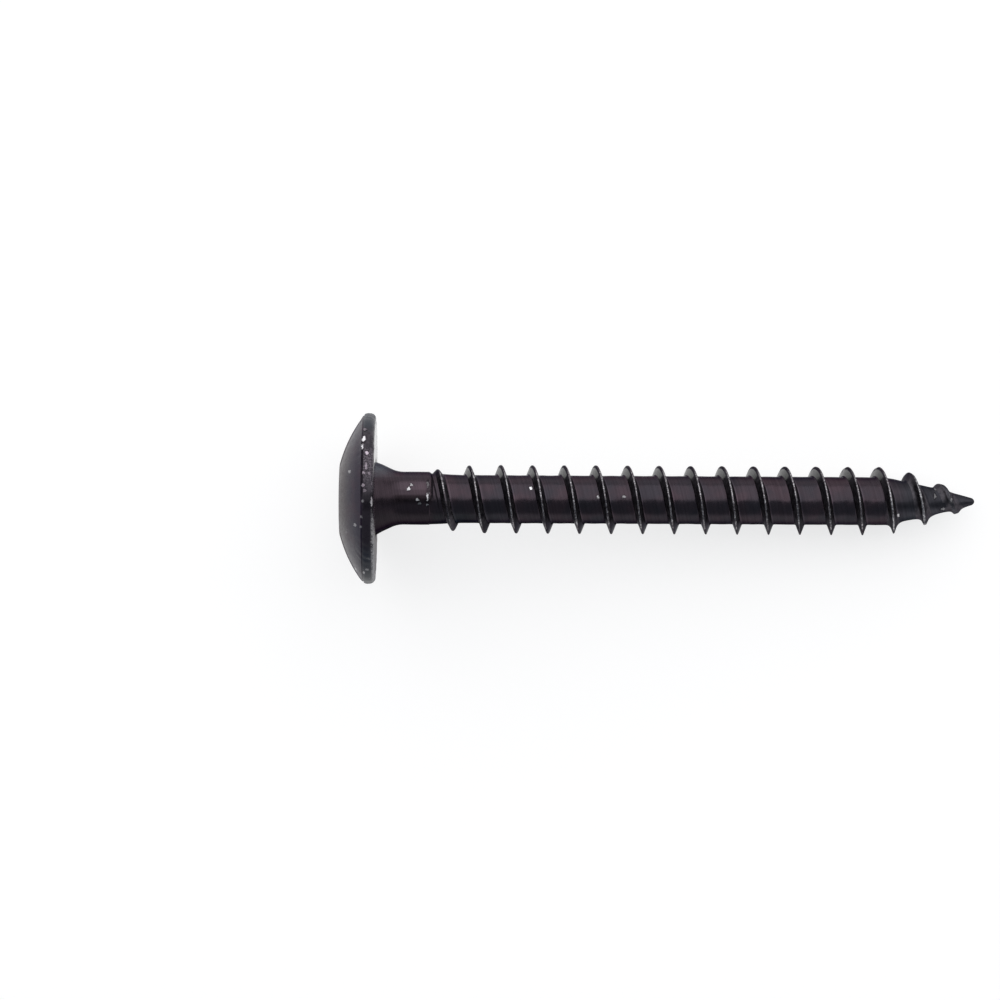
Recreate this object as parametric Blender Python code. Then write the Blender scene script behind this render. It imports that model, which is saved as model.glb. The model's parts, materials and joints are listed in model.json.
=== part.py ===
"""Hinge screw: a domed, flange-headed wood screw with a six-lobe recess, lying at rest.

Lengths are in metres and +Z is up. The screw is modelled along its own axis, which is +X from
the head towards the tip, with X = 0 on the flat face under the head. An empty called
screw_axis then lays it down: the head's rim and one thread crest touch the ground at Z = 0.

The screw is one piece of cold-formed steel, so it is one object. It is made from three forms:
a turned blank (domed head, rounded rim, flat bearing face, flared neck and plain shank), a
threaded core with a right-hand ridge that runs in at the shank and dies out on the tapered
point, and a cutter for the six-lobe recess.
"""

import math

import bmesh
import bpy
from mathutils import Matrix

# Overall size
LENGTH = 0.050                # from the bearing face to the tip

# Head
HEAD_DIAMETER = 0.01425
RIM_HEIGHT = 0.00100          # from the bearing face to the foot of the dome
RIM_STEP = 0.000125           # how far the foot of the dome stands inside the rim
RIM_UPPER_RADIUS = 0.0006
RIM_LOWER_RADIUS = 0.00042
DOME_RADIUS = 0.01147

# Neck and plain shank
NECK_DIAMETER = 0.00602       # where the neck meets the bearing face
NECK_ANGLE = 25.0             # degrees between the neck's cone and the axis
NECK_BLEND_RADIUS = 0.0025
SHANK_DIAMETER = 0.00443
SHANK_LENGTH = 0.00445        # from the bearing face to the bevel that steps down to the core
SHANK_BEVEL_ANGLE = 35.0      # degrees between that bevel and the axis

# Thread
CORE_DIAMETER = 0.00402
THREAD_DIAMETER = 0.00573
PITCH = 0.00263
FLANK_ANGLE = 40.0            # degrees between the two flanks
CREST_WIDTH = 0.00015
ROOT_FILLET = 0.00008         # how far the fillet reaches along the core from each flank
POINT_FILLET = 0.00060        # the same at the end of the point, where the valleys are hollow
FILLET_RISE_LIMIT = 0.45      # most of the flank's height that a fillet takes up
RUN_IN_LEAD = 0.00130         # the ridge begins to rise this far inside the plain shank
RUN_IN_TURNS = 2.35           # turns over which the ridge rises to its full height
RUN_IN_SWELL = 0.00013        # how far the core swells where the plain shank ends
RUN_OUT_LENGTH = 0.0045       # length over which the ridge dies out near the tip
RUN_OUT_POWER = 0.6           # below 1, the ridge stays high for longer and ends more steeply
RUN_OUT_MARGIN = 0.00105      # bare length left between the ridge's end and the tip

# Point
POINT_LENGTH = 0.00757
POINT_BULGE = 0.00009         # how far the point's side swells beyond a straight cone
TIP_DIAMETER = 0.00036

# Six-lobe recess
RECESS_WIDTH = 0.00550        # across opposite lobes
RECESS_WAIST = 0.00398        # across opposite valleys
LOBE_RADIUS = 0.00046
RECESS_DEPTH = 0.00205        # from the rim of the mouth to the foot of the walls
RECESS_FLOOR_DEPTH = 0.00050  # how much deeper the conical floor goes
RECESS_MOUTH_DIAMETER = 0.00586
RECESS_MOUTH_ANGLE = 60.0     # degrees between the mouth's bevel and the axis
RECESS_DRAFT = 2.0            # degrees between the walls and the axis
RECESS_TURN = 5.6             # degrees, turn of the lobes about the axis

# How finely curved faces are divided
HEAD_SIDES = 48
THREAD_SIDES = 32
DOME_STEPS = 6
ROUNDING_STEPS = 3
LOBE_STEPS = 5
OVERRUN = 0.001               # how far hidden ends and cutters run past what they meet
REST_ROUNDS = 4               # rounds that settle the tilt of the screw at rest

# Finish
STEEL_COLOUR = (0.028, 0.025, 0.030, 1.0)
STEEL_ROUGHNESS = 0.34
STEEL_METALLIC = 0.85

HEAD_RADIUS = HEAD_DIAMETER / 2
SHANK_RADIUS = SHANK_DIAMETER / 2
CORE_RADIUS = CORE_DIAMETER / 2
THREAD_HEIGHT = (THREAD_DIAMETER - CORE_DIAMETER) / 2
TIP_RADIUS = TIP_DIAMETER / 2
POINT_START = LENGTH - POINT_LENGTH
THREAD_START = SHANK_LENGTH - RUN_IN_LEAD
RIDGE_END = LENGTH - RUN_OUT_MARGIN
RIDGE_TURNS = (RIDGE_END - THREAD_START) / PITCH
FLANK_RUN = THREAD_HEIGHT * math.tan(math.radians(FLANK_ANGLE / 2))


def clear_scene():
    for found in list(bpy.data.objects):
        bpy.data.objects.remove(found, do_unlink=True)


def steel_material():
    material = bpy.data.materials.new("blackened_steel")
    material.use_nodes = True
    shader = material.node_tree.nodes["Principled BSDF"]
    shader.inputs["Base Color"].default_value = STEEL_COLOUR
    shader.inputs["Roughness"].default_value = STEEL_ROUGHNESS
    shader.inputs["Metallic"].default_value = STEEL_METALLIC
    return material


def add_object(name, form):
    """Turn a bmesh into a named object with smooth rounds and sharp edges."""
    bmesh.ops.recalc_face_normals(form, faces=form.faces)
    mesh = bpy.data.meshes.new(name)
    form.to_mesh(mesh)
    form.free()
    mesh.shade_smooth()
    mesh.set_sharp_from_angle(angle=math.radians(28))
    made = bpy.data.objects.new(name, mesh)
    bpy.context.scene.collection.objects.link(made)
    return made


def arc(centre_x, centre_r, radius, start, end, steps):
    """Points of an arc in the (x, r) half-plane, with angles in degrees from +x towards +r."""
    points = []
    for step in range(steps + 1):
        angle = math.radians(start + (end - start) * step / steps)
        points.append((centre_x + radius * math.cos(angle), centre_r + radius * math.sin(angle)))
    return points


def spin_profile(profile, sides):
    """Turn an open profile that starts and ends on the X axis into a closed solid."""
    form = bmesh.new()
    # Half a side's turn puts a flat, and not a corner, at the bottom
    half_side = math.pi / sides
    points = [form.verts.new((x, r * math.sin(half_side), r * math.cos(half_side)))
              for x, r in profile]
    edges = [form.edges.new(pair) for pair in zip(points, points[1:])]
    bmesh.ops.spin(form, geom=points + edges, cent=(0, 0, 0), axis=(1, 0, 0),
                   angle=math.tau, steps=sides, use_merge=True)
    bmesh.ops.remove_doubles(form, verts=form.verts, dist=1e-7)
    return form


def head_profile():
    """Dome and rounded rim, from the crown on the axis to the outer edge of the bearing face."""
    dome_foot_radius = HEAD_RADIUS - RIM_STEP
    foot_angle = math.degrees(math.asin(dome_foot_radius / DOME_RADIUS))
    dome_centre = DOME_RADIUS * math.cos(math.radians(foot_angle)) - RIM_HEIGHT
    dome = arc(dome_centre, 0, DOME_RADIUS, 180, 180 - foot_angle, DOME_STEPS)
    # The upper rounding starts where its own circle passes through the foot of the dome
    break_angle = math.degrees(math.asin(1 - RIM_STEP / RIM_UPPER_RADIUS))
    upper_centre = RIM_UPPER_RADIUS * math.cos(math.radians(break_angle)) - RIM_HEIGHT
    upper = arc(upper_centre, HEAD_RADIUS - RIM_UPPER_RADIUS, RIM_UPPER_RADIUS,
                180 - break_angle, 90, ROUNDING_STEPS)
    lower = arc(-RIM_LOWER_RADIUS, HEAD_RADIUS - RIM_LOWER_RADIUS, RIM_LOWER_RADIUS,
                90, 0, ROUNDING_STEPS)
    return [(dome[0][0], 0.0)] + dome[1:] + upper[1:] + lower


def neck_profile():
    """Cone under the head, blended by an arc into the plain shank."""
    slope = math.radians(NECK_ANGLE)
    flare = (NECK_DIAMETER - SHANK_DIAMETER) / 2
    # The arc takes up part of the flare, and the cone takes up the rest
    arc_flare = NECK_BLEND_RADIUS * (1 - math.cos(slope))
    cone_length = (flare - arc_flare) / math.tan(slope)
    arc_end = cone_length + NECK_BLEND_RADIUS * math.sin(slope)
    blend = arc(arc_end, SHANK_RADIUS + NECK_BLEND_RADIUS, NECK_BLEND_RADIUS,
                270 - NECK_ANGLE, 270, ROUNDING_STEPS)
    return [(0.0, NECK_DIAMETER / 2)] + blend


def blank_profile():
    """The whole turned blank, whose end bevel runs on to its apex inside the core."""
    apex = SHANK_LENGTH + SHANK_RADIUS / math.tan(math.radians(SHANK_BEVEL_ANGLE))
    return head_profile() + neck_profile() + [(SHANK_LENGTH, SHANK_RADIUS), (apex, 0.0)]


def run_in_swell(x):
    """How far the core swells: fully as far as the shank, and no more a pitch beyond it."""
    beyond = min(max((x - SHANK_LENGTH) / PITCH, 0.0), 1.0)
    return RUN_IN_SWELL * (1 - beyond)


def core_radius(x):
    """Radius of the core: a cylinder, then a point whose sides swell slightly."""
    if x <= POINT_START:
        return CORE_RADIUS + run_in_swell(x)
    share = (LENGTH - x) / POINT_LENGTH
    cone = TIP_RADIUS + (CORE_RADIUS - TIP_RADIUS) * share
    return cone + 4 * POINT_BULGE * share * (1 - share)


def ridge_height(turn):
    """Height of the ridge above the core, after so many turns from its start."""
    run_in = min(turn / RUN_IN_TURNS, 1.0)
    run_out = min(max((RIDGE_TURNS - turn) * PITCH / RUN_OUT_LENGTH, 0.0), 1.0)
    return THREAD_HEIGHT * run_in * (2 - run_in) * run_out ** RUN_OUT_POWER


def ridge_row(form, turn):
    """One section across the ridge, from the foot of one flank to the foot of the other."""
    middle = THREAD_START + PITCH * turn
    # The swell takes up part of the ridge, whose crest stays where it is
    height = max(ridge_height(turn) - run_in_swell(middle), 0.0)
    half_crest = CREST_WIDTH / 2
    # Each fillet is a flat facet from the core up to a low point of the flank
    on_point = min(max((middle - POINT_START) / (RIDGE_END - POINT_START), 0.0), 1.0)
    fillet = ROOT_FILLET + (POINT_FILLET - ROOT_FILLET) * on_point
    fillet_share = min(fillet / FLANK_RUN, FILLET_RISE_LIMIT)
    offsets = [(half_crest + FLANK_RUN + fillet, 0.0),
               (half_crest + FLANK_RUN * (1 - fillet_share), fillet_share),
               (half_crest, 1.0)]
    across = [(-offset, share) for offset, share in offsets]
    across += [(offset, share) for offset, share in reversed(offsets)]
    row = []
    for offset, share in across:
        foot = core_radius(middle + offset * (1 - share))
        row.append(ring_vertex(form, middle + offset, foot + height * share, turn))
    return row


def ring_vertex(form, x, radius, turn):
    """A vertex at so many turns about the axis, counted from +Z upwards and right-handed."""
    angle = math.tau * turn
    return form.verts.new((x, -radius * math.sin(angle), radius * math.cos(angle)))


def ring(form, x, radius, first_turn):
    return [ring_vertex(form, x, radius, first_turn + side / THREAD_SIDES)
            for side in range(THREAD_SIDES)]


def bridge_rings(form, near, far):
    """Quads between two rings of the same number of vertices."""
    for side in range(THREAD_SIDES):
        after = (side + 1) % THREAD_SIDES
        form.faces.new((near[side], near[after], far[after], far[side]))


def threaded_core():
    """Core and ridge as one closed surface, whose neighbouring turns share their edges."""
    form = bmesh.new()
    row_count = round(RIDGE_TURNS * THREAD_SIDES)
    rows = [ridge_row(form, index / THREAD_SIDES) for index in range(row_count + 1)]
    for here, after in zip(rows, rows[1:]):
        for low in range(len(here) - 1):
            form.faces.new((here[low], here[low + 1], after[low + 1], after[low]))

    # The bare core between one turn and the next
    for index in range(row_count - THREAD_SIDES):
        left, left_after = rows[index], rows[index + 1]
        right, right_after = rows[index + THREAD_SIDES], rows[index + THREAD_SIDES + 1]
        form.faces.new((left[-1], right[0], right_after[0], left_after[-1]))

    # The first turn's near side, closed by a ring inside the shank
    start_x = rows[0][0].co.x - OVERRUN
    start = ring(form, start_x, core_radius(start_x), 0)
    for side in range(THREAD_SIDES - 1):
        form.faces.new((start[side], rows[side][0], rows[side + 1][0], start[side + 1]))
    form.faces.new([start[-1], rows[THREAD_SIDES - 1][0], rows[THREAD_SIDES][0]]
                   + rows[0][::-1] + [start[0]])
    form.faces.new(start)

    # The last turn's far side, and the rings that round off the tip
    last_turn = rows[row_count - THREAD_SIDES:]
    beyond = last_turn[-1][-1].co.x
    first_turn = row_count / THREAD_SIDES
    near = ring(form, (beyond + LENGTH) / 2, core_radius((beyond + LENGTH) / 2), first_turn)
    for side in range(1, THREAD_SIDES):
        after = (side + 1) % THREAD_SIDES
        form.faces.new((last_turn[side][-1], last_turn[side + 1][-1], near[after], near[side]))
    form.faces.new([last_turn[0][-1], last_turn[1][-1], near[1], near[0]] + last_turn[-1][::-1])
    for step in range(1, ROUNDING_STEPS):
        angle = math.radians(90 * step / ROUNDING_STEPS)
        far = ring(form, LENGTH - TIP_RADIUS * (1 - math.sin(angle)),
                   core_radius(LENGTH - TIP_RADIUS) * math.cos(angle), first_turn)
        bridge_rings(form, near, far)
        near = far
    tip = form.verts.new((LENGTH, 0, 0))
    for side in range(THREAD_SIDES):
        form.faces.new((near[side], near[(side + 1) % THREAD_SIDES], tip))
    return form


def lobe_outline(inset):
    """Six-lobe outline, moved inwards by inset: outer arcs joined tangentially by inner arcs."""
    lobe_radius = LOBE_RADIUS - inset
    lobe_centre = RECESS_WIDTH / 2 - LOBE_RADIUS
    waist = RECESS_WAIST / 2
    spacing = math.radians(30)
    valley_radius = ((lobe_centre ** 2 + waist ** 2 - 2 * lobe_centre * waist * math.cos(spacing)
                      - LOBE_RADIUS ** 2)
                     / (2 * (LOBE_RADIUS - waist + lobe_centre * math.cos(spacing))))
    valley_centre = waist + valley_radius
    # Both arcs end where the line between their centres crosses them
    rise = valley_centre * math.sin(spacing)
    run = valley_centre * math.cos(spacing) - lobe_centre
    lobe_half_angle = math.atan2(rise, run)
    valley_half_angle = lobe_half_angle - spacing
    outline = []
    for lobe in range(6):
        direction = math.radians(60 * lobe)
        for step in range(LOBE_STEPS + 1):
            turn = lobe_half_angle * (2 * step / LOBE_STEPS - 1)
            outline.append(polar_sum(lobe_centre, direction, lobe_radius, direction + turn))
        across = direction + spacing
        for step in range(1, LOBE_STEPS):
            turn = valley_half_angle * (1 - 2 * step / LOBE_STEPS)
            outline.append(polar_sum(valley_centre, across, valley_radius + inset,
                                     across + math.pi + turn))
    return outline


def polar_sum(reach, direction, radius, angle):
    """The point at radius and angle from a centre that lies at reach and direction."""
    return (reach * math.cos(direction) + radius * math.cos(angle),
            reach * math.sin(direction) + radius * math.sin(angle))


def recess_mouth_x():
    """Where the mouth of the recess meets the dome."""
    dome_foot_radius = HEAD_RADIUS - RIM_STEP
    dome_centre = math.sqrt(DOME_RADIUS ** 2 - dome_foot_radius ** 2) - RIM_HEIGHT
    return dome_centre - math.sqrt(DOME_RADIUS ** 2 - (RECESS_MOUTH_DIAMETER / 2) ** 2)


def recess_walls():
    """Solid that cuts the six drafted walls and the conical floor."""
    form = bmesh.new()
    mouth = recess_mouth_x()
    foot_inset = RECESS_DEPTH * math.tan(math.radians(RECESS_DRAFT))
    outer_inset = -OVERRUN * math.tan(math.radians(RECESS_DRAFT))
    outer = [form.verts.new((mouth - OVERRUN, y, z)) for y, z in lobe_outline(outer_inset)]
    foot = [form.verts.new((mouth + RECESS_DEPTH, y, z)) for y, z in lobe_outline(foot_inset)]
    form.faces.new(outer)
    for index in range(len(outer)):
        after = (index + 1) % len(outer)
        form.faces.new((outer[index], outer[after], foot[after], foot[index]))
    floor = form.verts.new((mouth + RECESS_DEPTH + RECESS_FLOOR_DEPTH, 0, 0))
    for index in range(len(foot)):
        form.faces.new((foot[index], foot[(index + 1) % len(foot)], floor))
    turned = Matrix.Rotation(math.radians(RECESS_TURN), 4, "X")
    bmesh.ops.transform(form, matrix=turned, verts=form.verts)
    return form


def recess_mouth():
    """Cone that bevels the mouth of the recess, widening outwards through the dome."""
    mouth = recess_mouth_x()
    slope = math.tan(math.radians(RECESS_MOUTH_ANGLE))
    mouth_radius = RECESS_MOUTH_DIAMETER / 2
    bottom = mouth + (mouth_radius - RECESS_WAIST / 2) / slope
    wide = mouth_radius + OVERRUN * slope
    profile = [(mouth - OVERRUN, 0.0), (mouth - OVERRUN, wide),
               (bottom, RECESS_WAIST / 2), (bottom, 0.0)]
    return spin_profile(profile, HEAD_SIDES)


def combine(target, other, operation):
    """Add or cut another solid with an exact Boolean, and keep that solid out of the render."""
    other.hide_render = True
    other.display_type = "WIRE"
    step = target.modifiers.new(other.name, "BOOLEAN")
    step.object = other
    step.operation = operation
    step.solver = "EXACT"


def resting_matrix(solids):
    """Lay the screw down on its rim and a crest, centred over the origin."""
    points = [vertex.co for solid in solids for vertex in solid.data.vertices]
    head_points = [point for point in points if point.x <= 0]
    thread_points = [point for point in points if point.x > SHANK_LENGTH]
    tilt = 0.0
    # The rim's lowest point moves round its rounding as the screw tilts, so this is repeated
    for _ in range(REST_ROUNDS):
        rim = min(head_points, key=lambda point: point.z - point.x * math.tan(tilt))
        tilt = math.atan(min((point.z - rim.z) / (point.x - rim.x) for point in thread_points))
    turned = Matrix.Rotation(tilt, 4, "Y")
    placed = [turned @ point for point in points]
    lows = [min(point[axis] for point in placed) for axis in range(3)]
    highs = [max(point[axis] for point in placed) for axis in range(3)]
    move = Matrix.Translation((-(lows[0] + highs[0]) / 2, -(lows[1] + highs[1]) / 2, -lows[2]))
    return move @ turned


def build():
    clear_scene()
    screw = add_object("screw", spin_profile(blank_profile(), HEAD_SIDES))
    core = add_object("threaded_core", threaded_core())
    walls = add_object("recess_walls", recess_walls())
    mouth = add_object("recess_mouth", recess_mouth())
    screw.data.materials.append(steel_material())
    combine(screw, core, "UNION")
    combine(screw, mouth, "DIFFERENCE")
    combine(screw, walls, "DIFFERENCE")

    screw_axis = bpy.data.objects.new("screw_axis", None)
    bpy.context.scene.collection.objects.link(screw_axis)
    for solid in (screw, core, walls, mouth):
        solid.parent = screw_axis
    screw_axis.matrix_world = resting_matrix((screw, core))


build()
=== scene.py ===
"""Looks of the hinge screw: a fine surface, its blackened and rubbed steel, and a plain studio.

Lengths are in metres. The screw is worked out along its own axis, which is X from the head
towards the tip with X = 0 on the bearing face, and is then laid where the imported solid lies.
"""

import json
import math

import bmesh
import bpy
import numpy as np
from bpy.props import FloatProperty, FloatVectorProperty, IntProperty, PointerProperty
from mathutils import Matrix, Vector


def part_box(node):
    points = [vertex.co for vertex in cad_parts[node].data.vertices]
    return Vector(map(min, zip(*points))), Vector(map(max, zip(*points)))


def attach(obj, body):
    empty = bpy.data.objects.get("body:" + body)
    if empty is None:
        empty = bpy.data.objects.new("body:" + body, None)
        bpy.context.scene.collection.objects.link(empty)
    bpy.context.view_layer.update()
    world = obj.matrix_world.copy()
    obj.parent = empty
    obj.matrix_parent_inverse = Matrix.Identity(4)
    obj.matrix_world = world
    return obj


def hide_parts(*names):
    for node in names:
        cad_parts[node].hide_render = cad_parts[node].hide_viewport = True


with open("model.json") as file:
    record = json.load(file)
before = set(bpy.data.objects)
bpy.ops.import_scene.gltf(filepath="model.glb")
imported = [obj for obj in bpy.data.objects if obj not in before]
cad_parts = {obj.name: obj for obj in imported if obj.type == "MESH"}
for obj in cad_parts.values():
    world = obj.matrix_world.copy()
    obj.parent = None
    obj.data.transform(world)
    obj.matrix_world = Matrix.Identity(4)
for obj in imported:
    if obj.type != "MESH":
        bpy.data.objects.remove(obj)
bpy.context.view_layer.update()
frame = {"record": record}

bl_info = {
    "name": "Hinge Screw Looks",
    "version": (1, 0, 0),
    "blender": (4, 5, 0),
    "location": "3D View > Sidebar > Screw",
    "description": "Makes the fine surface, the finish and the studio of a hinge screw",
    "category": "Mesh",
}

NODE = "screw"
BODY = "root"

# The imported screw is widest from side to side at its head
NODE_LOW, NODE_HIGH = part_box(NODE)
HEAD_DIAMETER = NODE_HIGH.y - NODE_LOW.y
BEARING_MOUNT = next(m for m in frame["record"]["mounts"] if m["name"] == "bearing_face")
MOUNT_REACH = 0.0049          # from the screw's axis to the mount's point, on the upper side
FLOOR_REACH = 4.0             # from the floor's middle to each of its sides
SOLVING_ROUNDS = 8            # after these, two surfaces that meet have found each other
SHARP_ANGLE = math.radians(38)    # edges that turn by more aren't smoothed
HAIR = 0.00001                # a length too small to see, by which edges may miss their place


def metres(name, description, default):
    """A length that a user can change."""
    return FloatProperty(name=name, description=description, default=default, min=0.0,
                         unit="LENGTH", precision=5)


def number(name, description, default, low=0.0):
    """A plain number that a user can change."""
    return FloatProperty(name=name, description=description, default=default, min=low)


def degrees(name, description, default):
    """An angle that a user can change, written in degrees."""
    return FloatProperty(name=name, description=description, default=math.radians(default),
                         subtype="ANGLE")


def share(name, description, default):
    """A number from 0 to 1 that a user can change."""
    return FloatProperty(name=name, description=description, default=default, min=0.0, max=1.0,
                         subtype="FACTOR")


def colour(name, description, default):
    """A linear colour that a user can change."""
    return FloatVectorProperty(name=name, description=description, default=default, size=3,
                               min=0.0, max=1.0, subtype="COLOR")


class ScrewSizes(bpy.types.PropertyGroup):
    """Sizes of the screw's fine surface."""

    length: metres("Length", "From the bearing face to the tip", 0.049995)
    head_diameter: metres("Head diameter", "Across the rim, as packed", HEAD_DIAMETER)
    rim_height: metres("Rim height", "From the bearing face to the foot of the dome", 0.00100)
    rim_step: metres("Rim step", "How far the dome's foot stands inside the rim", 0.000125)
    rim_upper_radius: metres("Rim upper radius", "Rounding on the dome's side", 0.0006)
    rim_lower_radius: metres("Rim lower radius", "Rounding on the bearing side", 0.00042)
    dome_radius: metres("Dome radius", "Radius of the domed crown", 0.01147)
    neck_diameter: metres("Neck diameter", "Where the neck meets the bearing face", 0.00612)
    neck_angle: degrees("Neck angle", "Between the neck's cone and the axis", 25.0)
    neck_blend: metres("Neck blend", "Radius that leads the neck into the shank", 0.0025)
    shank_diameter: metres("Shank diameter", "Across the plain shank", 0.00443)
    shank_length: metres("Shank length", "From the bearing face to the shank's bevel", 0.00445)
    shank_bevel: degrees("Shank bevel", "Between the shank's end bevel and the axis", 35.0)
    core_diameter: metres("Core diameter", "Across the core between the ridges", 0.00402)
    thread_diameter: metres("Thread diameter", "Across the crests", 0.00573)
    pitch: metres("Pitch", "From one crest to the next", 0.00263)
    flank_angle: degrees("Flank angle", "Between the two flanks of the ridge", 40.0)
    crest_width: metres("Crest width", "Flat land on top of the ridge", 0.00012)
    last_crest_width: metres("Last crest width", "The same where the ridge ends", 0.00034)
    root_fillet: metres("Root fillet", "Reach of the ridge's fillet along the core", 0.00010)
    point_fillet: metres("Point fillet", "Reach of that fillet on the point", 0.00092)
    run_in_lead: metres("Run-in lead", "How far inside the shank the ridge begins", 0.0013)
    run_in_turns: number("Run-in turns", "Turns over which the ridge rises", 2.35, 0.1)
    run_in_swell: metres("Run-in swell", "Swell of the core at the shank's end", 0.00013)
    run_out_length: metres("Run-out length", "Length over which the ridge dies out", 0.0045)
    run_out_power: number("Run-out power", "Below 1 the ridge stays high for longer", 0.6, 0.1)
    run_out_margin: metres("Run-out margin", "Bare length between ridge and tip", 0.00105)
    point_length: metres("Point length", "Length of the tapered point", 0.00757)
    point_bulge: metres("Point bulge", "Swell of the point beyond a cone", 0.00009)
    tip_diameter: metres("Tip diameter", "Across the blunt tip", 0.00048)
    recess_width: metres("Recess width", "Across opposite lobes", 0.00550)
    recess_waist: metres("Recess waist", "Across opposite valleys", 0.00398)
    lobe_radius: metres("Lobe radius", "Radius of each outer lobe", 0.00046)
    recess_depth: metres("Recess depth", "From the mouth to the foot of the walls", 0.00205)
    recess_floor: metres("Recess floor", "How much deeper the conical floor goes", 0.0005)
    mouth_diameter: metres("Mouth diameter", "Across the recess's bevelled mouth", 0.00586)
    mouth_angle: degrees("Mouth angle", "Between the mouth's bevel and the axis", 60.0)
    recess_draft: degrees("Recess draft", "Between the walls and the axis", 2.0)
    recess_turn: degrees("Recess turn", "Turn of the lobes about the axis", 5.6)
    fold_depth: metres("Fold depth", "Depth of the fold between dome and rim", 0.00007)
    fold_width: metres("Fold width", "Width of that fold", 0.00020)
    unevenness: metres("Unevenness", "How far the formed surface strays inwards", 0.000022)
    rim_unevenness: metres("Rim unevenness", "How far the rim's edges stray", 0.00005)
    dome_stray: metres("Dome stray", "How far the dome sits off the axis", 0.00006)
    shank_stray: metres("Shank stray", "How far the shank sits off it the other way", 0.00005)
    crest_stray: metres("Crest stray", "How far the middle crests sit towards the tip", 0.00005)
    end_knob: metres("End knob", "Extra height where the ridge ends", 0.00015)
    nick_depth: metres("Nick depth", "Deepest nick in the crest", 0.00006)
    lobe_steps: IntProperty(
        name="Lobe steps", description="Facets along each arc of the recess", default=16, min=4)
    turn_steps: IntProperty(
        name="Turn steps", description="Facets in each turn of the thread", default=128, min=32)


class ScrewFinish(bpy.types.PropertyGroup):
    """Colours and gloss of the screw.

    The head and the ridge's flanks keep the dull coating they were forged with. The dies that
    rolled the thread have burnished the neck, the shank, the core and the crests.
    """

    head: colour("Head", "Dull coating of the head", (0.0115, 0.0045, 0.0185))
    head_warm: colour("Head warm", "Browner patches of it", (0.019, 0.0055, 0.019))
    head_cool: colour("Head cool", "Greyer patches of it", (0.009, 0.006, 0.021))
    crown: colour("Crown", "Browner coating round the recess", (0.025, 0.0125, 0.0175))
    # Painted light: this pale colour lights the recess's floor, which lies in shade
    recess_painted_light: colour("Recess floor", "Coating of the recess's floor", (0.115, 0.083, 0.104))
    head_ior: number("Head IOR", "Index of refraction of the head's coating", 1.29, 1.0)
    head_roughness: share("Head roughness", "Roughness of the head's coating", 0.30)
    rim: colour("Rim", "Coating of the rim", (0.015, 0.0115, 0.017))
    rim_cool: colour("Rim cool", "Bluer coating low on the rim", (0.013, 0.016, 0.026))
    # Painted shade: this near black darkens the fold, the recess's walls and the head's marks
    fold: colour("Fold", "Soot in the fold between dome and rim", (0.006, 0.005, 0.007))
    # Also painted shade: this colour darkens the shaft's grooves, besides the soot by its chips
    soot: colour("Soot", "Soot round the shaft's chips and in its marks", (0.010, 0.008, 0.010))
    # Painted light and shade: this coat on the flanks toward the light, a darker copy elsewhere
    flank: colour("Flank", "Coating of the ridge's cleaner flanks", (0.0035, 0.0030, 0.0032))
    flank_ior: number("Flank IOR", "Index of refraction of that coating", 1.49, 1.0)
    # Painted shade: the darker copy of the flank coating, on the flanks away from the light
    shaded_flank: colour("Dull flank", "Mirror colour of the sooty flanks", (0.036, 0.033, 0.037))
    rolled: colour("Rolled", "Mirror colour of the burnished coating", (0.044, 0.035, 0.042))
    rolled_warm: colour("Rolled warm", "Browner patches of it", (0.049, 0.035, 0.042))
    rolled_cool: colour("Rolled cool", "Greyer patches of it", (0.039, 0.034, 0.041))
    point: colour("Point", "Greyer coating of the point", (0.036, 0.035, 0.041))
    rolled_edge: colour("Rolled edge", "Tint of its glancing gloss", (0.38, 0.38, 0.40))
    rolled_roughness: share("Rolled roughness", "Roughness of the burnished coating", 0.25)
    # Painted light: this pale grey lights the upper side of the neck's flare
    neck_flare_light: colour("Neck scale", "Greyer scale on the neck's flare", (0.10, 0.103, 0.118))
    # Painted shade: this tint darkens the shaft's lower side, away from the light
    underside_shade: colour("Underside", "Sootier tint low on the shaft", (0.48, 0.60, 0.57))
    steel: colour("Steel", "Bare steel where the coating has come off", (0.60, 0.58, 0.59))
    chip: colour("Chip", "Clean steel in the chips", (0.88, 0.86, 0.88))
    warm_steel: colour("Warm steel", "Rubbed steel that keeps a trace of coating",
                       (0.60, 0.50, 0.57))
    steel_roughness: share("Steel roughness", "Roughness of the bare steel", 0.36)
    crest_rub: share("Crest rub", "How far the crests are rubbed towards bare steel", 0.16)
    orange_peel: metres("Orange peel", "Height of the coating's fine waves", 0.0000022)


class StudioSettings(bpy.types.PropertyGroup):
    """Light, floor and camera."""

    floor: colour("Floor", "The pale floor", (0.312, 0.305, 0.300))
    floor_glow: share("Floor glow", "Brightness that only lines of sight see", 0.73)
    wide_light: number("Wide light", "Brightness of the wide soft box", 1.25)
    inner_light: number("Inner light", "Brightness that the inner soft box adds", 0.75)
    horizon: colour("Horizon", "Room round the horizon", (0.95, 0.97, 1.0))
    ceiling: colour("Ceiling", "Room above", (0.235, 0.265, 0.30))
    box_height: metres("Box height", "Height of the soft boxes over the floor", 0.60)
    wide_from: metres("Wide box from", "Where the wide box starts beside the screw", 0.0)
    wide_to: metres("Wide box to", "Where the wide box ends beside the screw", 2.4)
    wide_width: metres("Wide box width", "Width of the wide box along the screw", 3.0)
    inner_from: metres("Inner box from", "Where the inner box starts beside the screw", 0.42)
    inner_to: metres("Inner box to", "Where the inner box ends beside the screw", 1.96)
    inner_width: metres("Inner box width", "Width of the inner box along the screw", 1.1)
    camera_distance: metres("Camera distance", "From the camera to the screw's axis", 0.220)
    camera_aim: metres("Camera aim", "Aim point along the axis from the bearing face", 0.01034)
    camera_drop: metres("Camera drop", "How far the aim lies below the axis", 0.000067)
    camera_roll: degrees("Camera roll", "Turn of the screw in the picture", 0.30)
    camera_lean: degrees("Camera lean", "How far the camera leans towards the head", 1.2)
    camera_lens: number("Camera lens", "Focal length in millimetres", 95.08, 1.0)


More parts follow.
